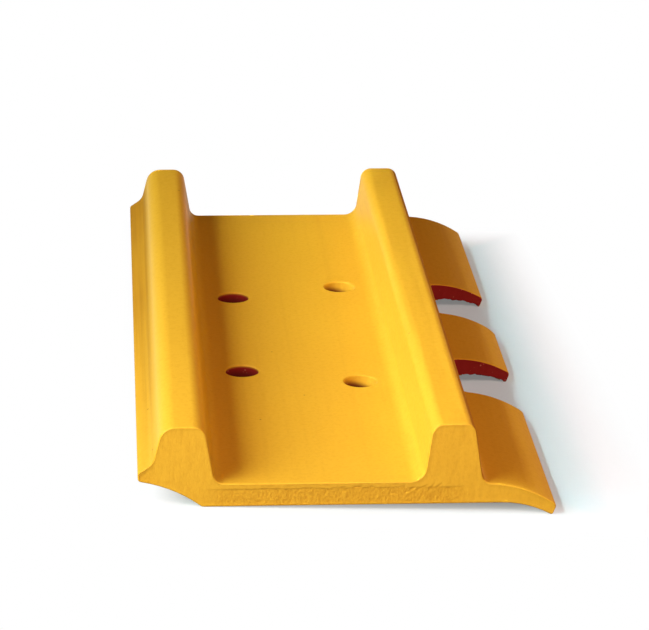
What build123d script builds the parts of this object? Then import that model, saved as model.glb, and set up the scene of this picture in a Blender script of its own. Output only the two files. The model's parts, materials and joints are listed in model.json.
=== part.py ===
from build123d import *
import os
from math import cos, radians, sin, tan

# Double-grouser track shoe for an excavator, a length cut from one rolled steel bar.
# X runs along the track, Y across it, and Z away from the track links. The origin is the
# middle of the bolt pattern, on the underside that seats on the links.
# Sizes are in millimetres and degrees.

# Bar
shoe_width = 500.0
plate_thickness = 14.0
end_edge_radius = 1.0

# Bolt pattern: two rows across the track, the trailing one wider
bolt_row_spacing = 72.0
leading_bolt_spacing = 138.4
trailing_bolt_spacing = 178.4
bolt_hole_diameter = 20.5
bolt_hole_chamfer = 0.6

# Grousers, the two bars that bite into the ground
channel_width = 118.2
grouser_rise = 34.6
grouser_crest = 23.8
leading_inner_draft = 9.8
leading_outer_draft = 13.7
trailing_inner_draft = 7.6
trailing_outer_draft = 9.0
leading_inner_root_radius = 6.5
leading_inner_crest_radius = 8.0
leading_outer_crest_radius = 10.0
trailing_inner_root_radius = 8.8
trailing_inner_crest_radius = 7.4
trailing_outer_crest_radius = 6.5
trailing_outer_root_radius = 6.0

# Leading lip, raised to ride over the shoe in front
leading_lip_root_height = 26.9
leading_lip_length = 10.2
leading_lip_slope = 34.3
leading_lip_root_radius = 9.4
leading_tip_face = 5.4
leading_tip_radius = 2.2
leading_hollow_length = 36.1
leading_hollow_start_slope = 8.7
leading_seat_radius = 3.0

# Trailing lip, curled down to pass under the shoe behind
trailing_lip_length = 42.7
trailing_lip_root_thickness = 12.4
trailing_lip_fall = 3.7
trailing_lip_land = 0.6
trailing_tip_height = -1.6
trailing_tip_face = 7.0
trailing_tip_lean = 22.3
trailing_tip_upper_radius = 3.0
trailing_tip_lower_radius = 1.3
trailing_curl_offset = 10.7

# Notches in the trailing lip that clear the link ends
notch_spacing = 144.5
notch_offset = -3.0
notch_root_width = 57.5
notch_near_flare = 2.0
notch_far_flare = 9.5
notch_root_gap = 4.0
notch_root_radius = 5.0
notch_edge_radius = 0.8
front_notch_corner_radii = (4.0, 1.5)
rear_notch_corner_radii = (9.0, 1.5)


def direction(angle):
    """Unit vector at an angle above +X in the section."""
    return Vector(cos(radians(angle)), sin(radians(angle)))


# Section of the bar, X along and Z up: its corners before they are rounded
crest_level = plate_thickness + grouser_rise
leading_inner_root = Vector(-channel_width / 2, plate_thickness)
leading_inner_crest = Vector(
    leading_inner_root.X - grouser_rise * tan(radians(leading_inner_draft)), crest_level
)
leading_outer_crest = leading_inner_crest - Vector(grouser_crest, 0)
leading_outer_drop = crest_level - leading_lip_root_height
leading_lip_root = Vector(
    leading_outer_crest.X - leading_outer_drop * tan(radians(leading_outer_draft)),
    leading_lip_root_height,
)
leading_tip_top = leading_lip_root - direction(leading_lip_slope) * leading_lip_length
leading_tip_bottom = leading_tip_top - Vector(0, leading_tip_face)
leading_seat_start = Vector(leading_tip_bottom.X + leading_hollow_length, 0)
trailing_inner_root = Vector(channel_width / 2, plate_thickness)
trailing_inner_crest = Vector(
    trailing_inner_root.X + grouser_rise * tan(radians(trailing_inner_draft)), crest_level
)
trailing_outer_crest = trailing_inner_crest + Vector(grouser_crest, 0)
trailing_outer_drop = crest_level - trailing_lip_root_thickness
trailing_outer_root = Vector(
    trailing_outer_crest.X + trailing_outer_drop * tan(radians(trailing_outer_draft)),
    trailing_lip_root_thickness,
)

# The lip starts to curl a short land after the grouser's root fillet ends
root_fillet_turn = 90 - trailing_outer_draft - trailing_lip_fall
root_fillet_reach = trailing_outer_root_radius * tan(radians(root_fillet_turn / 2))
curl_start = trailing_outer_root + direction(-trailing_lip_fall) * (root_fillet_reach + trailing_lip_land)
trailing_tip_top = Vector(trailing_outer_root.X + trailing_lip_length, trailing_tip_height)
trailing_tip_bottom = trailing_tip_top - direction(90 - trailing_tip_lean) * trailing_tip_face
trailing_seat_end = Vector(trailing_outer_root.X + trailing_curl_offset, 0)

crest_corners = [
    leading_tip_top,
    leading_lip_root,
    leading_outer_crest,
    leading_inner_crest,
    leading_inner_root,
    trailing_inner_root,
    trailing_inner_crest,
    trailing_outer_crest,
    trailing_outer_root,
    curl_start,
]
crest_radii = [
    leading_lip_root_radius,
    leading_outer_crest_radius,
    leading_inner_crest_radius,
    leading_inner_root_radius,
    trailing_inner_root_radius,
    trailing_inner_crest_radius,
    trailing_outer_crest_radius,
    trailing_outer_root_radius,
]
lip_corner_radii = [
    (leading_tip_top, leading_tip_radius),
    (leading_tip_bottom, leading_tip_radius),
    (leading_seat_start, leading_seat_radius),
    (trailing_tip_top, trailing_tip_upper_radius),
    (trailing_tip_bottom, trailing_tip_lower_radius),
]

# Notch outlines in plan, each from one tab corner round its root to the other tab corner
notch_root_x = trailing_outer_root.X + notch_root_gap
notch_mouth_x = trailing_tip_top.X
notch_clear_x = notch_mouth_x + trailing_lip_length
notch_clear_y = notch_root_width
notches = [
    (notch_offset - notch_spacing / 2, front_notch_corner_radii),
    (notch_offset + notch_spacing / 2, rear_notch_corner_radii),
]

with BuildPart() as track_shoe:
    with BuildSketch(Plane.XZ) as section:
        with BuildLine() as outline:
            crest = FilletPolyline(*crest_corners, radius=crest_radii)
            TangentArc(crest @ 1, trailing_tip_top, tangent=crest % 1)
            Line(trailing_tip_top, trailing_tip_bottom)
            TangentArc(trailing_seat_end, trailing_tip_bottom, tangent=(1, 0))
            Line(trailing_seat_end, leading_seat_start)
            TangentArc(leading_tip_bottom, leading_seat_start, tangent=direction(-leading_hollow_start_slope))
            Line(leading_tip_bottom, leading_tip_top)
        make_face()
        for corner, radius in lip_corner_radii:
            fillet(section.vertices().sort_by_distance(corner)[0], radius)
    extrude(amount=shoe_width / 2, both=True)
    ends = track_shoe.faces().sort_by(Axis.Y)
    fillet(ends[0].edges() + ends[-1].edges(), end_edge_radius)

    with Locations(
        (-bolt_row_spacing / 2, -leading_bolt_spacing / 2, plate_thickness),
        (-bolt_row_spacing / 2, leading_bolt_spacing / 2, plate_thickness),
        (bolt_row_spacing / 2, -trailing_bolt_spacing / 2, plate_thickness),
        (bolt_row_spacing / 2, trailing_bolt_spacing / 2, plate_thickness),
    ):
        Hole(bolt_hole_diameter / 2)
    chamfer(track_shoe.edges(Select.LAST).filter_by(GeomType.CIRCLE), bolt_hole_chamfer)

    for middle, (near_radius, far_radius) in notches:
        near_wall = middle - notch_root_width / 2
        far_wall = middle + notch_root_width / 2
        with BuildSketch(Plane.XY.offset(crest_level)) as notch_plan:
            with BuildLine():
                FilletPolyline(
                    (notch_clear_x, near_wall - notch_clear_y),
                    (notch_mouth_x, near_wall - notch_clear_y),
                    (notch_mouth_x, near_wall - notch_near_flare),
                    (notch_root_x, near_wall),
                    (notch_root_x, far_wall),
                    (notch_mouth_x, far_wall + notch_far_flare),
                    (notch_mouth_x, far_wall + notch_clear_y),
                    (notch_clear_x, far_wall + notch_clear_y),
                    radius=[0, near_radius, notch_root_radius, notch_root_radius, far_radius, 0],
                )
                Line((notch_clear_x, far_wall + notch_clear_y), (notch_clear_x, near_wall - notch_clear_y))
            make_face()
        extrude(amount=-2 * crest_level, mode=Mode.SUBTRACT)
        fillet(track_shoe.edges(Select.LAST).filter_by(Axis.Z, reverse=True), notch_edge_radius)

track_shoe.part.label = "track_shoe"
os.makedirs("parts", exist_ok=True)
export_step(track_shoe.part, "parts/track_shoe.step")
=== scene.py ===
"""Dresses a double-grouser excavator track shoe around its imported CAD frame, and sets up its studio."""
import json
import math

import bpy
import numpy as np
from bpy.props import FloatProperty, FloatVectorProperty, PointerProperty
from mathutils import Matrix, Vector, kdtree, noise

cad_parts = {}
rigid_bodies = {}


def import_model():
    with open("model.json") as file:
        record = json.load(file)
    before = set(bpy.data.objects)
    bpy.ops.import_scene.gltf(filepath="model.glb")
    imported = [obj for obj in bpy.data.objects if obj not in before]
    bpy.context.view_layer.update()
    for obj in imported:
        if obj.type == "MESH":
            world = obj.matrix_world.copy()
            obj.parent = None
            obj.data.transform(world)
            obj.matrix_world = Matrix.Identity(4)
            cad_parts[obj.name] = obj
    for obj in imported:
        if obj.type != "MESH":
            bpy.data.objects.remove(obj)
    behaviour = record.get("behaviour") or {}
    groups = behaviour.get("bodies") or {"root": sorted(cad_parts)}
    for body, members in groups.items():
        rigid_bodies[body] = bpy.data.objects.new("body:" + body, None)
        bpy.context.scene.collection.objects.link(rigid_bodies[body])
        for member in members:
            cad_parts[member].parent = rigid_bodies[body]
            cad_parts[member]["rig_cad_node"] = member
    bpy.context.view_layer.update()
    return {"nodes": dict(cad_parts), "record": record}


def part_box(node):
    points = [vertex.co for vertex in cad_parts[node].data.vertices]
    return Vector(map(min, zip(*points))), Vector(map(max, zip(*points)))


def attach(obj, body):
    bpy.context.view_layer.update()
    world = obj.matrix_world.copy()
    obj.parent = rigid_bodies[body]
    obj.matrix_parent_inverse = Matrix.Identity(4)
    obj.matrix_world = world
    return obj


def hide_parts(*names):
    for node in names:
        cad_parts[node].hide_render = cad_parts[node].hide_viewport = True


bl_info = {
    "name": "Track Shoe",
    "version": (1, 0, 0),
    "blender": (4, 5, 0),
    "location": "3D View > Sidebar > Track Shoe",
    "description": "Builds a painted double-grouser track shoe with its cut ends and notches, and its studio",
    "category": "Object",
}

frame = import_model()
SHOE_LOW, SHOE_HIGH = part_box("track_shoe")
MOUNTS = {mount["name"]: mount for mount in frame["record"]["mounts"]}
OPENINGS = {opening["name"]: opening["box_m"] for opening in frame["record"]["physics"]["openings"]}
PLATE_TOP = 2 * MOUNTS["leading_bolts"]["pos_m"][2]
CHANNEL_LOW, CHANNEL_HIGH = (Vector(corner) for corner in OPENINGS["grouser_channel"])

MM = 0.001
WHITE = (1.0, 1.0, 1.0)
ALONG_X, ALONG_Y, ALONG_Z = (1, 0, 0), (0, 1, 0), (0, 0, 1)
MERGE_DISTANCE = 0.002 * MM
FLAT_ANGLE = math.radians(0.05)
SMOOTH_ANGLE = math.radians(38)

# Relief fades out this far from the edges of a sheared end and from the upper edge of a notch wall
END_FADE = 1.2 * MM
TORCH_FADE = 1.5 * MM
# The ragged lower edge of a notch wall reaches this far up the wall
SLAG_FADE = 4 * MM
# Marks of the relief: length, width, and lean from the upright in radians
HOLLOWS = (14 * MM, 9 * MM, 0.9)
FRACTURE_GRAIN = (1.3 * MM, 0.9 * MM, 0.5)
SLAG_LUMPS = (9 * MM, 4 * MM, 0.0)
TORCH_LINES = (9 * MM, 1.8 * MM, 0.1)

# The flared walls of a notch lie within this margin of its clear box, and their grid starts this far before it
NOTCH_MARGIN = 14 * MM
GRID_MARGIN = 5 * MM
# Faces square to X that lie nearer than this to the trailing tip belong to the tip, not to a notch
TIP_DEPTH = 5 * MM
# The notches keep this far from the ends
END_CLEARANCE = 50 * MM

# Limits on the parts of a face's normal, by which faces are told apart
SQUARE = 0.999
LEVEL = 0.97
UPRIGHT = 0.03
BORE_LEAN = 0.2
WALL_ACROSS = 0.3
EDGE_ACROSS = 0.2
END_SLACK = 0.01 * MM

# The broken zone of an end rises across the channel's leading side and falls past its trailing side
BREAK_RISE = (-12 * MM, 8 * MM)
BREAK_FALL = (16 * MM, 34 * MM)
BREAK_FADE = 0.8 * MM
# It starts again near the leading tip, with less weight
TIP_BREAK = (4 * MM, 13 * MM)
TIP_BREAK_SHARE = 0.8
# The line over the broken zone wanders, and differs from end to end
WANDER = 0.7 * MM
WANDER_SCALE = 70.0
END_SHIFT = 9.0
# The tear along that line rises from the shoe's middle and falls before the channel's trailing side
TEAR_RISE = (0.0, 15 * MM)
TEAR_FALL = (-10 * MM, 0.0)
TEAR_REACH = 0.7 * MM
TEAR_SCALE = 260.0
TEAR_GAPS = (-0.25, 0.15)

# Gouges that the shear tore in the near end, each from one place in the section to another, in mm
GOUGES = (
    ((48.5, 6.9), (53.6, 10.2)),
    ((55.0, 8.6), (61.5, 11.6)),
    ((61.8, 7.4), (65.0, 12.2)),
    ((66.5, 9.8), (69.5, 12.6)),
)
GOUGE_REACH = 0.6 * MM
GOUGE_SHARE = 0.7

# Painted shade lies on the outer sides of the grousers, from this far outside the channel
SHADE_START = 20 * MM
# On the leading one it ends at the first height and is full under the second, and is thinnest at the near end
SHADE_TOP, SHADE_FULL = 42 * MM, 37 * MM
NEAR_SHADE = 0.4
SHADE_RUN = (SHOE_LOW.y, 0.3 * SHOE_HIGH.y)
# Points carry it where their normals lean this far out
LEADING_FACING, TRAILING_FACING = -0.3, 0.6
# How far down the leading and trailing bolt holes the walls stay yellow, and over what depth the painted shadow
# then comes in
LEADING_LIT_DEPTH, LEADING_SHADOW_FADE = 0.3 * MM, 1.2 * MM
TRAILING_LIT_DEPTH, TRAILING_SHADOW_FADE = (0.4 * MM, 6.4 * MM), 4.5 * MM
# Depths over which painted shade darkens the red in the bolt holes
BORE_SHADE = (1 * MM, 8 * MM)
BORE_SHADE_SHARE = 0.9

# Repeats of the coat's patterns per metre
COAT_PATCHES = 11.0
COAT_GRAIN = 420.0
ORANGE_PEEL = 900.0
MILL_SCALE = 170.0
ROLLING_MARKS = (150.0, 2.5, 150.0)
DRAG_MARKS = (300.0, 300.0, 90.0)
FRACTURE_GRIT = (760.0, 760.0, 480.0)
SPECK_CELLS = 75.0
FLECK_CELLS = 300.0
FLECK_PATCHES = 90.0
# Turn of the marks on the sheared ends, in radians
SHEAR_SLANT = (0.0, 0.6, 0.0)

# Softboxes: place, target, width and height, in metres
SOFTBOXES = {
    "key": ((-0.72, -0.75, 0.58), (0.0, -0.7, 0.02), 0.9, 0.56),
    "side": ((-0.72, 0.1, 0.58), (0.0, 0.1, 0.02), 0.7, 0.56),
    "strip": ((-0.62, -0.2, 0.82), (0.12, -0.1, 0.01), 1.0, 0.06),
    "fill": ((0.28, -0.95, 0.85), (0.0, 0.0, 0.02), 0.3, 0.3),
    "rim": ((1.05, 0.0, 0.09), (0.1, 0.0, 0.0), 0.6, 0.12),
    "back": ((0.62, 1.25, 0.17), (0.0, 0.25, 0.02), 0.4, 0.25),
}
FLOOR_SIZE = 60.0
# Outside the lines below, the shadow on the floor turns to plain white, and the paper's colour changes
SHADOW_FADE = (4 * MM, 60 * MM)
PAPER_FADE = (6 * MM, 50 * MM)
# Share of plain white in the shadow
SHADOW_WHITE = 0.19
# The lines lie this far inside the leading side and the ends, and the shadow's this far outside the trailing tip
LEADING_INSET = 55 * MM
END_INSET = 30 * MM
TIP_OFFSET = 7.5 * MM
# How much the shadow beside the trailing tip widens towards the camera
SHADOW_SPLAY = 0.05


class ShoeSizes(bpy.types.PropertyGroup):
    """Sizes of the relief that cutting leaves on the shoe."""

    end_grid: FloatProperty(
        name="End grid",
        description="Spacing of the mesh on the sheared ends",
        default=0.9 * MM,
        min=0.3 * MM,
        unit="LENGTH",
    )
    wall_grid: FloatProperty(
        name="Notch grid",
        description="Spacing of the mesh on the torch-cut walls of the notches",
        default=0.9 * MM,
        min=0.3 * MM,
        unit="LENGTH",
    )
    bore_grid: FloatProperty(
        name="Bore grid",
        description="Spacing of the mesh down the bolt holes",
        default=1 * MM,
        min=0.3 * MM,
        unit="LENGTH",
    )
    bar_grid: FloatProperty(
        name="Bar grid",
        description="Spacing of the cross cuts along the rolled bar",
        default=12.5 * MM,
        min=2 * MM,
        unit="LENGTH",
    )
    fracture_grid: FloatProperty(
        name="Fracture grid",
        description="Spacing of the mesh on the broken zone of the ends",
        default=0.5 * MM,
        min=0.3 * MM,
        unit="LENGTH",
    )
    burnish_depth: FloatProperty(
        name="Burnish depth",
        description="Height of the smooth band that the shear leaves under the top edge of the plate",
        default=3.1 * MM,
        min=0.0,
        unit="LENGTH",
    )
    fracture_step: FloatProperty(
        name="Fracture step",
        description="How far the broken zone of the end lies behind the smooth band",
        default=0.1 * MM,
        min=0.0,
        unit="LENGTH",
    )
    fracture_depth: FloatProperty(
        name="Fracture depth",
        description="Depth of the grain in the broken zone",
        default=0.24 * MM,
        min=0.0,
        unit="LENGTH",
    )
    tear_depth: FloatProperty(
        name="Tear depth",
        description="Depth of the gouges, and of the ragged line between the smooth band and the broken zone",
        default=0.35 * MM,
        min=0.0,
        unit="LENGTH",
    )
    end_waviness: FloatProperty(
        name="End waviness",
        description="Depth of the soft hollows over the whole end face",
        default=0.22 * MM,
        min=0.0,
        unit="LENGTH",
    )
    slag_rise: FloatProperty(
        name="Slag rise",
        description="How far the ragged lower edge of the notch walls comes up",
        default=0.9 * MM,
        min=0.0,
        unit="LENGTH",
    )
    torch_depth: FloatProperty(
        name="Torch depth",
        description="Depth of the upright drag lines on the notch walls",
        default=0.3 * MM,
        min=0.0,
        unit="LENGTH",
    )


class ShoePaint(bpy.types.PropertyGroup):
    """Colours of the shoe's paint."""

    yellow: FloatVectorProperty(
        name="Yellow",
        description="Top coat",
        subtype="COLOR",
        default=(0.775, 0.470, 0.032),
        min=0.0,
        max=1.0,
    )
    deep_yellow: FloatVectorProperty(
        name="Deep yellow",
        description="Top coat where it has run thicker",
        subtype="COLOR",
        default=(0.735, 0.43, 0.027),
        min=0.0,
        max=1.0,
    )
    # Ochre also paints the shade on the grousers' outer sides
    ochre: FloatVectorProperty(
        name="Ochre",
        description="Top coat over rolling marks and in the pits of the cut ends",
        subtype="COLOR",
        default=(0.58, 0.29, 0.016),
        min=0.0,
        max=1.0,
    )
    # The red undercoat is real on the notch walls; in the bolt holes it is painted shadow
    oxide: FloatVectorProperty(
        name="Red oxide",
        description="Primer that shows on the notch walls and in the bolt holes",
        subtype="COLOR",
        default=(0.28, 0.019, 0.015),
        min=0.0,
        max=1.0,
    )
    # Painted shade deep in the bolt holes
    bore_shade_red: FloatVectorProperty(
        name="Deep oxide",
        description="Primer deep in the bolt holes, dark with dust",
        subtype="COLOR",
        default=(0.085, 0.012, 0.008),
        min=0.0,
        max=1.0,
    )
    fleck: FloatVectorProperty(
        name="Fleck",
        description="Overspray on the primer",
        subtype="COLOR",
        default=(0.70, 0.27, 0.17),
        min=0.0,
        max=1.0,
    )
    # The speck colour also paints the shade on the grousers' outer sides
    speck: FloatVectorProperty(
        name="Speck",
        description="Dust specks in the top coat",
        subtype="COLOR",
        default=(0.20, 0.08, 0.01),
        min=0.0,
        max=1.0,
    )


class ShoeStudio(bpy.types.PropertyGroup):
    """The studio around the shoe."""

    lens: FloatProperty(
        name="Lens",
        description="Focal length of the camera",
        default=167.07,
        min=10.0,
        unit="CAMERA",
    )
    camera_place: FloatVectorProperty(
        name="Camera place",
        description="Where the camera stands",
        subtype="TRANSLATION",
        unit="LENGTH",
        default=(-0.11513, -1.81695, 0.67105),
    )
    camera_yaw: FloatProperty(
        name="Camera yaw",
        description="How far the camera turns from +Y towards +X",
        default=math.radians(4.249),
        subtype="ANGLE",
    )
    camera_pitch: FloatProperty(
        name="Camera pitch",
        description="How far the camera looks down",
        default=math.radians(19.505),
        subtype="ANGLE",
    )
    camera_roll: FloatProperty(
        name="Camera roll",
        description="How far the camera leans",
        default=math.radians(0.872),
        subtype="ANGLE",
    )
    key_power: FloatProperty(
        name="Key power",
        description="Power of the wide softbox at the front left",
        default=16.3,
        min=0.0,
        unit="POWER",
    )
    side_power: FloatProperty(
        name="Side power",
        description="Power of the softbox at the left",
        default=3.4,
        min=0.0,
        unit="POWER",
    )
    strip_power: FloatProperty(
        name="Strip power",
        description="Power of the gridded strip over the left side, turned to the trailing grouser",
        default=0.17,
        min=0.0,
        unit="POWER",
    )
    strip_spread: FloatProperty(
        name="Strip spread",
        description="Angle of the beam that the grid lets out of the strip",
        default=math.radians(12),
        min=0.0,
        subtype="ANGLE",
    )
    fill_power: FloatProperty(
        name="Fill power",
        description="Power of the softbox at the front right",
        default=7.4,
        min=0.0,
        unit="POWER",
    )
    fill_colour: FloatVectorProperty(
        name="Fill colour",
        description="Colour of the softbox at the front right",
        subtype="COLOR",
        default=(1.0, 0.56, 0.50),
        min=0.0,
        max=1.0,
    )
    rim_power: FloatProperty(
        name="Rim power",
        description="Power of the low softbox at the right, which lights the trailing lip",
        default=3.0,
        min=0.0,
        unit="POWER",
    )
    rim_colour: FloatVectorProperty(
        name="Rim colour",
        description="Colour of the low softbox at the right",
        subtype="COLOR",
        default=(1.0, 0.46, 0.30),
        min=0.0,
        max=1.0,
    )
    back_power: FloatProperty(
        name="Back power",
        description="Power of the low softbox behind the shoe, which lights its far end",
        default=2.8,
        min=0.0,
        unit="POWER",
    )
    back_colour: FloatVectorProperty(
        name="Back colour",
        description="Colour of the softbox behind the shoe",
        subtype="COLOR",
        default=(1.0, 0.80, 0.65),
        min=0.0,
        max=1.0,
    )
    floor_colour: FloatVectorProperty(
        name="Floor colour",
        description="Tone in which the paper under the shoe throws light back at it",
        subtype="COLOR",
        default=(0.32, 0.32, 0.32),
        min=0.0,
        max=1.0,
    )
    paper_colour: FloatVectorProperty(
        name="Paper colour",
        description="Paper beside the shoe, as the camera sees it in the shadow",
        subtype="COLOR",
        default=(0.62, 0.95, 1.0),
        min=0.0,
        max=1.0,
    )
    outer_paper_colour: FloatVectorProperty(
        name="Outer paper colour",
        description="Paper a little way off, as the camera sees it",
        subtype="COLOR",
        default=(0.85, 0.97, 1.0),
        min=0.0,
        max=1.0,
    )


class Field:
    """A value that varies over a surface. Arithmetic on fields adds Math nodes to their finish."""

    def __init__(self, finish, socket):
        self.finish = finish
        self.socket = socket

    def maths(self, operation, *values):
        return self.finish.add("ShaderNodeMath", {"operation": operation}, dict(enumerate(values)))

    def __add__(self, other):
        return self.maths("ADD", self, other)

    __radd__ = __add__

    def __sub__(self, other):
        return self.maths("SUBTRACT", self, other)

    def __rsub__(self, other):
        return self.maths("SUBTRACT", other, self)

    def __mul__(self, other):
        return self.maths("MULTIPLY", self, other)

    __rmul__ = __mul__

    def __abs__(self):
        return self.maths("ABSOLUTE", self)

    def most(self, other):
        """The larger of this field and another."""
        return self.maths("MAXIMUM", self, other)

    def step(self, low, high):
        """Smooth step of this field, from 0 at low to 1 at high."""
        settings = {"interpolation_type": "SMOOTHSTEP"}
        inputs = {"Value": self, "From Min": low, "From Max": high, "To Min": 0.0, "To Max": 1.0}
        if low > high:
            inputs.update({"From Min": high, "From Max": low, "To Min": 1.0, "To Max": 0.0})
        return self.finish.add("ShaderNodeMapRange", settings, inputs)


class Finish:
    """A node material, written as expressions."""

    def __init__(self, name):
        self.material = bpy.data.materials.new(name)
        self.material.use_nodes = True
        self.tree = self.material.node_tree
        self.tree.nodes.clear()

    def add(self, kind, settings=None, inputs=None, output=0):
        """Adds a node with its settings, then its socket values or links, and returns one output."""
        node = self.tree.nodes.new(kind)
        for name, value in (settings or {}).items():
            setattr(node, name, value)
        for name, value in (inputs or {}).items():
            if isinstance(value, Field):
                self.tree.links.new(value.socket, node.inputs[name])
            else:
                node.inputs[name].default_value = value
        return Field(self, node.outputs[output]) if len(node.outputs) else None

    def place(self):
        return self.add("ShaderNodeTexCoord", output="Object")

    def axis(self, vector, name):
        return self.add("ShaderNodeSeparateXYZ", {}, {"Vector": vector}, output=name)

    def mask(self, name):
        return self.add("ShaderNodeAttribute", {"attribute_name": name}, output="Fac")

    def stretch(self, vector, scale, turn=(0.0, 0.0, 0.0)):
        return self.add("ShaderNodeMapping", {}, {"Vector": vector, "Scale": scale, "Rotation": turn})

    def noise(self, vector, scale, detail=3.0, roughness=0.5):
        inputs = {"Vector": vector, "Scale": scale, "Detail": detail, "Roughness": roughness}
        return self.add("ShaderNodeTexNoise", {}, inputs)

    def cells(self, vector, scale, output):
        return self.add("ShaderNodeTexVoronoi", {}, {"Vector": vector, "Scale": scale}, output)

    def blend(self, amount, first, second):
        """Mixes two colours, each a field or a plain colour."""
        colours = [c if isinstance(c, Field) else (*c, 1.0) for c in (first, second)]
        inputs = {0: amount, 6: colours[0], 7: colours[1]}
        return self.add("ShaderNodeMix", {"data_type": "RGBA"}, inputs, output=2)

    def surface(self, shader):
        self.add("ShaderNodeOutputMaterial", {}, {"Surface": shader})
        return self.material


def shoe_paint(colours):
    """Satin yellow on rolled steel, rough on the sheared ends, red undercoat on the notch walls, painted shadow
    in the bolt holes and painted shade on the grousers' outer sides.
    """
    paint = Finish("yellow_paint")
    place = paint.place()
    masks = ("sheared", "fracture", "oxide", "deep", "dull")
    sheared, fracture, oxide, deep, dull = (paint.mask(name) for name in masks)
    rolled = 1 - sheared

    # Slow changes of the coat's thickness, rolling marks along the bar, and painted shade on the grousers' outer
    # sides
    thickness = paint.noise(place, COAT_PATCHES, 2.0).step(0.35, 0.7)
    rolling = paint.noise(paint.stretch(place, ROLLING_MARKS), 1.0, 3.0, 0.6)
    grain = paint.noise(place, COAT_GRAIN, 2.0, 0.6)
    colour = paint.blend(thickness * 0.3, colours.yellow, colours.deep_yellow)
    colour = paint.blend(rolling.step(0.5, 0.78) * 0.16 * rolled, colour, colours.ochre)
    colour = paint.blend(grain.step(0.42, 0.72) * 0.20, colour, colours.ochre)
    # Painted shade on the grousers' outer sides: ochre, then the speck colour streaked along the rolling marks
    colour = paint.blend(dull * (0.75 + 0.25 * thickness), colour, colours.ochre)
    colour = paint.blend(dull * (0.08 + 0.30 * rolling.step(0.3, 0.65)), colour, colours.speck)

    # Sheared ends: faint slanted marks all over, and a granular broken zone with gouges
    drag = paint.noise(paint.stretch(place, DRAG_MARKS, SHEAR_SLANT), 1.0, 3.0, 0.6)
    grit = paint.noise(paint.stretch(place, FRACTURE_GRIT, SHEAR_SLANT), 1.0, 2.0, 0.6)
    colour = paint.blend(drag.step(0.45, 0.72) * 0.24 * sheared, colour, colours.ochre)
    colour = paint.blend((0.22 + 0.40 * grit.step(0.42, 0.7)) * fracture, colour, colours.ochre)

    # Dust specks, in one cell of five
    lot = paint.add("ShaderNodeSeparateColor", {}, {"Color": paint.cells(place, SPECK_CELLS, "Color")})
    spot = paint.cells(place, SPECK_CELLS, "Distance").step(0.07, 0.03) * lot.step(0.80, 0.82)
    colour = paint.blend(spot * 0.65 * rolled * (1 - oxide), colour, colours.speck)

    # Red undercoat with patches of light overspray flecks: real on the notch walls, painted shadow in the bolt
    # holes, where painted shade darkens it deep down
    sprayed = paint.noise(place, FLECK_PATCHES, 1.0).step(0.44, 0.52)
    fleck = paint.cells(place, FLECK_CELLS, "Distance").step(0.22, 0.10) * sprayed
    primer_and_shadow = paint.blend(fleck * 0.7 * (1 - deep), colours.oxide, colours.fleck)
    primer_and_shadow = paint.blend(deep, primer_and_shadow, colours.bore_shade_red)
    colour = paint.blend(oxide, colour, primer_and_shadow)

    height = (
        paint.noise(place, ORANGE_PEEL, 2.0, 0.5) * 0.04 * MM
        + paint.noise(place, MILL_SCALE, 3.0, 0.6) * 0.12 * MM
        + rolling * 0.02 * MM * rolled
        - drag * 0.24 * MM * sheared
        - grit * 0.22 * MM * fracture
        + grain * oxide * 0.10 * MM
    )
    bump = paint.add("ShaderNodeBump", {}, {"Strength": 1.0, "Distance": 1.0, "Height": height})
    shader = paint.add(
        "ShaderNodeBsdfPrincipled",
        {},
        {
            "Base Color": colour,
            "Roughness": 0.48 + sheared * 0.12 + grain * 0.12 + dull * 0.3,
            "Specular IOR Level": 0.08,
            "Coat Weight": 0.08 - oxide * 0.05 - fracture * 0.04 - dull * 0.08,
            "Coat Roughness": 0.3,
            "Normal": bump,
        },
    )
    return paint.surface(shader)


def only(piece):
    """Makes a piece the only selected object and the active one."""
    bpy.ops.object.select_all(action="DESELECT")
    piece.select_set(True)
    bpy.context.view_layer.objects.active = piece


def merged_copy(node_name, piece_name):
    """A copy of a CAD node with its loose triangles merged into whole faces."""
    only(frame["nodes"][node_name])
    bpy.ops.object.duplicate()
    piece = bpy.context.active_object
    piece.name = piece.data.name = piece_name
    del piece["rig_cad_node"]
    bpy.ops.object.mode_set(mode="EDIT")
    bpy.ops.mesh.select_all(action="SELECT")
    bpy.ops.mesh.customdata_custom_splitnormals_clear()
    bpy.ops.mesh.remove_doubles(threshold=MERGE_DISTANCE)
    bpy.ops.mesh.dissolve_limited(angle_limit=FLAT_ANGLE)
    bpy.ops.object.mode_set(mode="OBJECT")
    return piece


def face_places(piece):
    """Centres and normals of a piece's faces, as two arrays."""
    faces = piece.data.polygons
    centres, normals = np.zeros(len(faces) * 3), np.zeros(len(faces) * 3)
    faces.foreach_get("center", centres)
    faces.foreach_get("normal", normals)
    return centres.reshape(-1, 3), normals.reshape(-1, 3)


def point_places(piece):
    """Places of a piece's points."""
    points = np.zeros(len(piece.data.vertices) * 3)
    piece.data.vertices.foreach_get("co", points)
    return points.reshape(-1, 3)


def slice_faces(piece, chosen, cuts):
    """Bisects the chosen faces, and no others, at each place along each axis."""
    bpy.ops.object.mode_set(mode="EDIT")
    bpy.ops.mesh.select_mode(type="FACE")
    bpy.ops.mesh.select_all(action="DESELECT")
    bpy.ops.object.mode_set(mode="OBJECT")
    piece.data.polygons.foreach_set("select", chosen)
    bpy.ops.object.mode_set(mode="EDIT")
    bpy.ops.mesh.hide(unselected=True)
    for axis, places in cuts:
        for place in places:
            bpy.ops.mesh.select_all(action="SELECT")
            bpy.ops.mesh.bisect(plane_co=Vector(axis) * place, plane_no=axis)
    bpy.ops.mesh.reveal(select=False)
    bpy.ops.object.mode_set(mode="OBJECT")


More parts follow.
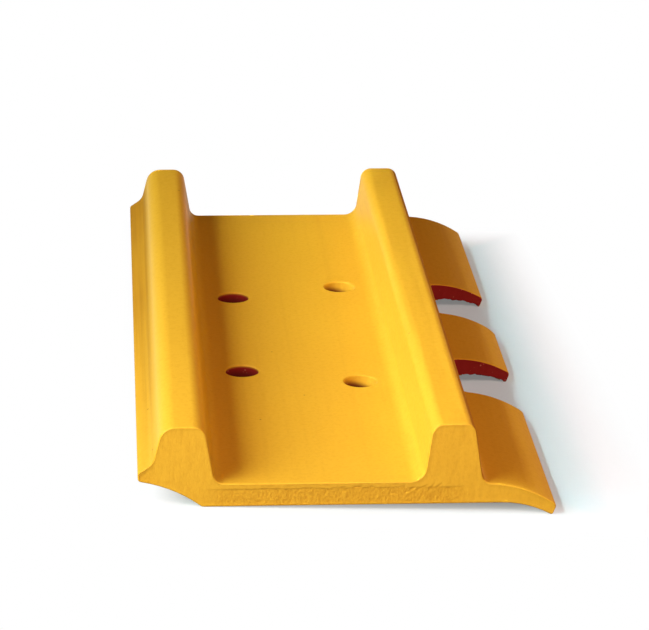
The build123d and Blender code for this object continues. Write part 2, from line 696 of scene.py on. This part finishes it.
def points_of(piece, chosen):
    """Flags the points that the chosen faces use."""
    flags = np.zeros(len(piece.data.vertices), bool)
    for face in np.flatnonzero(chosen):
        flags[list(piece.data.polygons[face].vertices)] = True
    return flags


def rim_distance(piece, chosen, beside):
    """Distance of each point of the chosen faces from their rim with the faces beside them, and 0 elsewhere."""
    inside = points_of(piece, chosen)
    rim = inside & points_of(piece, beside)
    points = point_places(piece)
    tree = kdtree.KDTree(int(rim.sum()))
    for index in np.flatnonzero(rim):
        tree.insert(points[index], int(index))
    tree.balance()
    distance = np.zeros(len(points))
    for index in np.flatnonzero(inside & ~rim):
        distance[index] = tree.find(points[index])[2]
    return distance


def smooth_step(values, low, high):
    ramp = np.clip((values - low) / (high - low), 0.0, 1.0)
    return ramp * ramp * (3 - 2 * ramp)


def set_mask(piece, name, values):
    """Keeps a mask on the mesh for its finish to read."""
    mask = piece.data.attributes.new(name, "FLOAT", "POINT")
    mask.data.foreach_set("value", np.asarray(values, np.float32))


def set_weights(piece, name, values):
    """Keeps a mask as a vertex group for a modifier to read."""
    group = piece.vertex_groups.new(name=name)
    for index in np.flatnonzero(values > 0.001):
        group.add([int(index)], float(values[index]), "REPLACE")
    return group.name


def sink(piece, group, depth, texture=None, stretch=None, rising=False):
    """Displaces a vertex group inwards, or upwards if rising, by up to a depth, where a texture says."""
    shift = piece.modifiers.new("relief", "DISPLACE")
    shift.vertex_group = group
    shift.direction = "Z" if rising else "NORMAL"
    shift.strength = depth if rising else -depth
    shift.mid_level = 0.0
    guide = None
    if texture:
        shift.texture = texture
        shift.texture_coords = "OBJECT"
        guide = bpy.data.objects.new("relief_guide", None)
        bpy.context.scene.collection.objects.link(guide)
        guide.matrix_world = stretch
        bpy.context.view_layer.update()
        shift.texture_coords_object = guide
    only(piece)
    bpy.ops.object.modifier_apply(modifier=shift.name)
    if guide:
        bpy.data.objects.remove(guide)


def clouds(name, depth, contrast):
    """A noise texture of unit size, to be stretched by its guide."""
    texture = bpy.data.textures.new(name, "CLOUDS")
    texture.noise_scale = 1.0
    texture.noise_depth = depth
    texture.contrast = contrast
    return texture


def stretched(length, width, lean):
    """Guide for a texture, whose marks are long and narrow and lean from the upright."""
    return Matrix.Rotation(lean, 4, "Y") @ Matrix.Diagonal((width, width, length, 1.0))


class TRACKSHOE_OT_body(bpy.types.Operator):
    """Shoe with sheared ends and torch-cut notches"""

    bl_idname = "trackshoe.body"
    bl_label = "Shoe Body"

    def execute(self, context):
        sizes = context.scene.shoe_sizes
        shoe = merged_copy("track_shoe", "shoe_body")
        self.slice_for_relief(shoe, sizes)
        ends, walls = self.end_faces(shoe), self.notch_walls(shoe)
        undersides, bores = self.notch_undersides(shoe), self.bores(shoe)
        upward = face_places(shoe)[1][:, 2] > 0.0
        points = point_places(shoe)
        broken = self.shear_ends(shoe, sizes, ends, upward)
        self.cut_notches(shoe, sizes, walls, undersides, upward)

        # Masks for the paint, by the places that points had before the relief
        # Painted shadow in the bolt holes, painted shade deeper down them, and painted shade on the grousers'
        # outer sides
        bore_points = points_of(shoe, bores)
        bore_shadow = self.shaded_bores(points, bore_points)
        deep = bore_points * smooth_step(PLATE_TOP - points[:, 2], *BORE_SHADE) * BORE_SHADE_SHARE
        set_mask(shoe, "dull", self.shaded_sides(shoe, points))
        set_mask(shoe, "sheared", points_of(shoe, ends) * 1.0)
        set_mask(shoe, "fracture", broken)
        set_mask(shoe, "oxide", np.maximum(points_of(shoe, walls | undersides), bore_shadow))
        set_mask(shoe, "deep", deep)

        only(shoe)
        bpy.ops.object.shade_smooth_by_angle(angle=SMOOTH_ANGLE)
        weighted = shoe.modifiers.new("flats", "WEIGHTED_NORMAL")
        weighted.keep_sharp = True
        bpy.ops.object.modifier_apply(modifier=weighted.name)
        shoe.data.materials.clear()
        shoe.data.materials.append(shoe_paint(context.scene.shoe_paint))
        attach(shoe, "root")
        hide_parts("track_shoe")
        return {"FINISHED"}

    def shear_ends(self, shoe, sizes, ends, upward):
        """Sinks soft hollows, a broken zone and torn marks in the ends, and gives the broken and torn share."""
        points = point_places(shoe)
        inner = smooth_step(rim_distance(shoe, ends, ~ends), 0.0, END_FADE)
        below = smooth_step(rim_distance(shoe, ends, ~ends & upward), 0.0, END_FADE)
        broken = below * self.broken_zone(points, sizes)
        torn = below * self.tears(points, sizes)
        face = set_weights(shoe, "face_relief", inner)
        fracture = set_weights(shoe, "fracture_relief", broken)
        tear = set_weights(shoe, "tear_relief", torn)
        sink(shoe, face, sizes.end_waviness, clouds("hollows", 2, 1.2), stretched(*HOLLOWS))
        sink(shoe, fracture, sizes.fracture_step)
        grain = clouds("fracture_grain", 2, 2.0)
        sink(shoe, fracture, sizes.fracture_depth, grain, stretched(*FRACTURE_GRAIN))
        sink(shoe, tear, sizes.tear_depth)
        return np.maximum(broken, torn)

    def cut_notches(self, shoe, sizes, walls, undersides, upward):
        """Sinks drag lines in the notch walls, and makes their lower edges ragged."""
        lines = smooth_step(rim_distance(shoe, walls, ~walls & upward), 0.0, TORCH_FADE)
        low = smooth_step(-rim_distance(shoe, walls, undersides), -SLAG_FADE, 0.0) * points_of(shoe, walls)
        torch = set_weights(shoe, "torch_relief", lines)
        slag = set_weights(shoe, "slag_relief", np.maximum(low, points_of(shoe, undersides)))
        sink(shoe, slag, sizes.slag_rise, clouds("slag", 1, 2.4), stretched(*SLAG_LUMPS), rising=True)
        sink(shoe, torch, sizes.torch_depth, clouds("torch_lines", 2, 1.6), stretched(*TORCH_LINES))

    def shaded_sides(self, shoe, points):
        """Share of painted shade on the outer sides of the grousers, on the leading one more towards the far
        end.
        """
        facing = np.zeros(len(points) * 3)
        shoe.data.vertices.foreach_get("normal", facing)
        facing = facing.reshape(-1, 3)[:, 0]
        leading = (facing < LEADING_FACING) & (points[:, 0] < CHANNEL_LOW.x - SHADE_START)
        low = smooth_step(-points[:, 2], -SHADE_TOP, -SHADE_FULL)
        far = NEAR_SHADE + (1 - NEAR_SHADE) * smooth_step(points[:, 1], *SHADE_RUN)
        trailing = (facing > TRAILING_FACING) & (points[:, 0] > CHANNEL_HIGH.x + SHADE_START)
        return np.maximum(leading * low * far, trailing & (points[:, 2] > PLATE_TOP))

    def shaded_bores(self, points, bore_points):
        """Share of painted shadow, in red, down the bolt holes: least on the trailing walls of the trailing
        ones.
        """
        leading = points[:, 0] < 0.0
        across = points[bore_points & ~leading, 0]
        share = np.clip((points[:, 0] - across.min()) / (across.max() - across.min()), 0.0, 1.0)
        least, most = TRAILING_LIT_DEPTH
        lit_depth = np.where(leading, LEADING_LIT_DEPTH, least + (most - least) * share)
        fade = np.where(leading, LEADING_SHADOW_FADE, TRAILING_SHADOW_FADE)
        return bore_points * smooth_step(PLATE_TOP - points[:, 2] - lit_depth, 0.0, fade)

    def end_faces(self, shoe):
        """Flags the two sheared ends."""
        centres, normals = face_places(shoe)
        return (np.abs(normals[:, 1]) > SQUARE) & (np.abs(centres[:, 1]) > SHOE_HIGH.y - END_SLACK)

    def notch_walls(self, shoe):
        """Flags the upright walls that the torch leaves in the notches."""
        centres, normals = face_places(shoe)
        upright = np.abs(normals[:, 2]) < UPRIGHT
        across = (np.abs(normals[:, 1]) > WALL_ACROSS) | (centres[:, 0] < SHOE_HIGH.x - TIP_DEPTH)
        chosen = np.zeros(len(centres), bool)
        for name in ("near_notch", "far_notch"):
            low, high = OPENINGS[name]
            chosen |= (centres[:, 1] > low[1] - NOTCH_MARGIN) & (centres[:, 1] < high[1] + NOTCH_MARGIN)
        return chosen & upright & across & (centres[:, 0] > low[0] - NOTCH_MARGIN)

    def notch_undersides(self, shoe):
        """Flags the rounded lower edges of the notch walls, where slag hangs."""
        centres, normals = face_places(shoe)
        lower = (normals[:, 2] > -LEVEL) & (normals[:, 2] < -UPRIGHT) & (np.abs(normals[:, 1]) > EDGE_ACROSS)
        between_ends = np.abs(centres[:, 1]) < SHOE_HIGH.y - END_CLEARANCE
        return lower & between_ends & (centres[:, 0] > OPENINGS["near_notch"][0][0])

    def bores(self, shoe):
        """Flags the walls of the bolt holes."""
        centres, normals = face_places(shoe)
        upright = np.abs(normals[:, 2]) < BORE_LEAN
        in_channel = (centres[:, 0] > CHANNEL_LOW.x) & (centres[:, 0] < CHANNEL_HIGH.x)
        in_middle = np.abs(centres[:, 1]) < SHOE_HIGH.y / 2
        return upright & in_channel & in_middle & (centres[:, 2] < PLATE_TOP)

    def slice_for_relief(self, shoe, sizes):
        """Cuts the bar into lengths, and its ends, notch walls and bolt holes into fine grids."""

        def steps(low, high, spacing):
            return np.arange(low + spacing, high, spacing)

        whole = np.ones(len(shoe.data.polygons), bool)
        slice_faces(shoe, whole, [(ALONG_Y, steps(SHOE_LOW.y, SHOE_HIGH.y, sizes.bar_grid))])
        slice_faces(shoe, self.end_faces(shoe), [(ALONG_Z, [PLATE_TOP])])
        for in_plate, grid in ((False, sizes.end_grid), (True, sizes.fracture_grid)):
            heights = face_places(shoe)[0][:, 2]
            chosen = self.end_faces(shoe) & ((heights < PLATE_TOP) == in_plate)
            across = steps(SHOE_LOW.x, SHOE_HIGH.x, grid)
            upward = steps(SHOE_LOW.z, PLATE_TOP if in_plate else SHOE_HIGH.z, grid)
            slice_faces(shoe, chosen, [(ALONG_X, across), (ALONG_Z, upward)])
        low, high = Vector(OPENINGS["near_notch"][0]), Vector(OPENINGS["far_notch"][1])
        lip_x = steps(low.x - GRID_MARGIN, SHOE_HIGH.x, sizes.wall_grid)
        lip_y = steps(low.y - NOTCH_MARGIN, high.y + NOTCH_MARGIN, sizes.wall_grid)
        lip_z = steps(SHOE_LOW.z, PLATE_TOP, sizes.wall_grid)
        notches = self.notch_walls(shoe) | self.notch_undersides(shoe)
        slice_faces(shoe, notches, [(ALONG_X, lip_x), (ALONG_Y, lip_y), (ALONG_Z, lip_z)])
        slice_faces(shoe, self.bores(shoe), [(ALONG_Z, steps(0.0, PLATE_TOP, sizes.bore_grid))])

    def break_line(self, points, sizes):
        """Height of the wandering line on the ends where the smooth band gives way to the fracture."""
        spots = points * (WANDER_SCALE, END_SHIFT, 0.0)
        wander = np.array([noise.noise(Vector(spot)) for spot in spots])
        return PLATE_TOP - sizes.burnish_depth + wander * WANDER

    def broken_zone(self, points, sizes):
        """Share of the fracture on the ends: in the plate under the channel, and at the leading tip."""
        under = smooth_step(self.break_line(points, sizes) - points[:, 2], 0.0, BREAK_FADE)
        rise = smooth_step(points[:, 0] - CHANNEL_LOW.x, *BREAK_RISE)
        fall = 1 - smooth_step(points[:, 0] - CHANNEL_HIGH.x, *BREAK_FALL)
        tip = 1 - smooth_step(points[:, 0] - SHOE_LOW.x, *TIP_BREAK)
        return np.maximum(under * rise * fall, TIP_BREAK_SHARE * tip)

    def tears(self, points, sizes):
        """Share of the torn marks on the ends: a ragged line over half of the fracture, and the gouges."""
        gap = np.abs(self.break_line(points, sizes) - points[:, 2])
        spots = points * (TEAR_SCALE, END_SHIFT, TEAR_SCALE)
        ragged = np.array([noise.noise(Vector(spot)) for spot in spots])
        rise = smooth_step(points[:, 0], *TEAR_RISE)
        fall = 1 - smooth_step(points[:, 0] - CHANNEL_HIGH.x, *TEAR_FALL)
        torn = smooth_step(-gap, -TEAR_REACH, 0.0) * rise * fall * smooth_step(ragged, *TEAR_GAPS)
        near_end = points[:, 1] < 0.0
        for start, end in GOUGES:
            start, along = np.array(start) * MM, (np.array(end) - np.array(start)) * MM
            offset = points[:, [0, 2]] - start
            share = np.clip(offset @ along / (along @ along), 0.0, 1.0)
            away = np.linalg.norm(offset - share[:, None] * along, axis=1)
            torn = np.maximum(torn, GOUGE_SHARE * smooth_step(-away, -GOUGE_REACH, 0.0) * near_end)
        return torn


class TRACKSHOE_OT_stage(bpy.types.Operator):
    """Floor, softboxes, room and camera"""

    bl_idname = "trackshoe.stage"
    bl_label = "Stage"

    def execute(self, context):
        studio = context.scene.shoe_studio
        self.lay_floor(studio)
        boxes = {name: self.softbox(studio, name) for name in SOFTBOXES}
        boxes["strip"].data.spread = studio.strip_spread
        boxes["back"].visible_glossy = False
        self.darken_room(context.scene)
        self.set_camera(context.scene, studio)
        context.scene.view_settings.view_transform = "Standard"
        return {"FINISHED"}

    def lay_floor(self, studio):
        """A floor that touches the shoe where it rests: at the trailing tip and the edge of the link seat."""
        points = point_places(frame["nodes"]["track_shoe"])
        tip = points[points[:, 2].argmin()]
        rest = points[points[:, 0] < 0.0]
        lean = np.arctan2(rest[:, 2] - tip[2], tip[0] - rest[:, 0]).min()
        bpy.ops.object.select_all(action="DESELECT")
        bpy.ops.mesh.primitive_plane_add(size=FLOOR_SIZE)
        floor = bpy.context.active_object
        floor.name = "floor"
        floor.matrix_world = Matrix.Translation((tip[0], 0.0, tip[2])) @ Matrix.Rotation(lean, 4, "Y")
        floor.data.materials.append(self.paper(studio))

    def paper(self, studio):
        """White paper: beside the shoe it keeps the shadow, and a little way off it is plain white."""
        paper = Finish("white_paper")
        rays = ("Is Camera Ray", "Is Glossy Ray", "Is Transmission Ray")
        camera, glossy, through = (paper.add("ShaderNodeLightPath", output=ray) for ray in rays)
        seen = camera.most(glossy.most(through))

        # The floor's origin lies under the trailing tip, halfway along the shoe
        place = paper.place()
        x, y = paper.axis(place, "X"), paper.axis(place, "Y")
        span = SHOE_HIGH - SHOE_LOW
        left = LEADING_INSET - span.x - x
        right = x + y * SHADOW_SPLAY - TIP_OFFSET
        ends = abs(y) - (span.y / 2 - END_INSET)
        beside = left.most(ends)
        whiteness = SHADOW_WHITE + (1 - SHADOW_WHITE) * right.most(beside).step(*SHADOW_FADE)

        def sheet(colour):
            return paper.add("ShaderNodeBsdfDiffuse", {}, {"Color": (*colour, 1.0)})

        def mix(amount, first, second):
            return paper.add("ShaderNodeMixShader", {}, {0: amount, 1: first, 2: second})

        white = paper.add("ShaderNodeEmission", {}, {"Color": (*WHITE, 1.0), "Strength": 1.0})
        outer = x.most(beside).step(*PAPER_FADE)
        shaded = mix(outer, sheet(studio.paper_colour), sheet(studio.outer_paper_colour))
        return paper.surface(mix(seen, sheet(studio.floor_colour), mix(whiteness, shaded, white)))

    def softbox(self, studio, name):
        """A soft rectangular light at its place, turned to its target. Its width lies level."""
        place, target, width, height = SOFTBOXES[name]
        bpy.ops.object.light_add(type="AREA", location=place)
        box = bpy.context.active_object
        box.name = box.data.name = name + "_softbox"
        box.rotation_euler = (Vector(place) - Vector(target)).to_track_quat("Z", "Y").to_euler()
        box.data.shape = "RECTANGLE"
        box.data.size, box.data.size_y = width, height
        box.data.energy = getattr(studio, name + "_power")
        box.data.color = getattr(studio, name + "_colour", WHITE)
        return box

    def darken_room(self, scene):
        """A black room: all the light comes from the softboxes."""
        scene.world = bpy.data.worlds.new("room")
        scene.world.use_nodes = True
        scene.world.node_tree.nodes["Background"].inputs["Color"].default_value = (0.0, 0.0, 0.0, 1.0)

    def set_camera(self, scene, studio):
        bpy.ops.object.camera_add()
        camera = bpy.context.active_object
        camera.name = camera.data.name = "camera"
        turn = (
            Matrix.Rotation(-studio.camera_yaw, 4, "Z")
            @ Matrix.Rotation(math.pi / 2 - studio.camera_pitch, 4, "X")
            @ Matrix.Rotation(studio.camera_roll, 4, "Z")
        )
        camera.matrix_world = Matrix.Translation(studio.camera_place) @ turn
        camera.data.sensor_width = 36.0
        camera.data.lens = studio.lens
        camera.data.clip_end = 100.0
        scene.camera = camera


class VIEW3D_PT_track_shoe(bpy.types.Panel):
    """The shoe's pieces and settings"""

    bl_label = "Track Shoe"
    bl_idname = "VIEW3D_PT_track_shoe"
    bl_space_type = "VIEW_3D"
    bl_region_type = "UI"
    bl_category = "Track Shoe"

    def draw(self, context):
        scene = context.scene
        for operator in PIECES:
            self.layout.operator(operator.bl_idname)
        for settings in (scene.shoe_sizes, scene.shoe_paint, scene.shoe_studio):
            box = self.layout.box()
            for name in settings.__annotations__:
                box.prop(settings, name)


PIECES = (TRACKSHOE_OT_body, TRACKSHOE_OT_stage)
SETTINGS = {"shoe_sizes": ShoeSizes, "shoe_paint": ShoePaint, "shoe_studio": ShoeStudio}


def register():
    for kind in (*SETTINGS.values(), *PIECES, VIEW3D_PT_track_shoe):
        bpy.utils.register_class(kind)
    for name, kind in SETTINGS.items():
        setattr(bpy.types.Scene, name, PointerProperty(type=kind))


def unregister():
    for name in SETTINGS:
        delattr(bpy.types.Scene, name)
    for kind in (VIEW3D_PT_track_shoe, *PIECES, *SETTINGS.values()):
        bpy.utils.unregister_class(kind)


def main():
    register()
    bpy.ops.trackshoe.body()
    bpy.ops.trackshoe.stage()


if __name__ == "__main__":
    main()
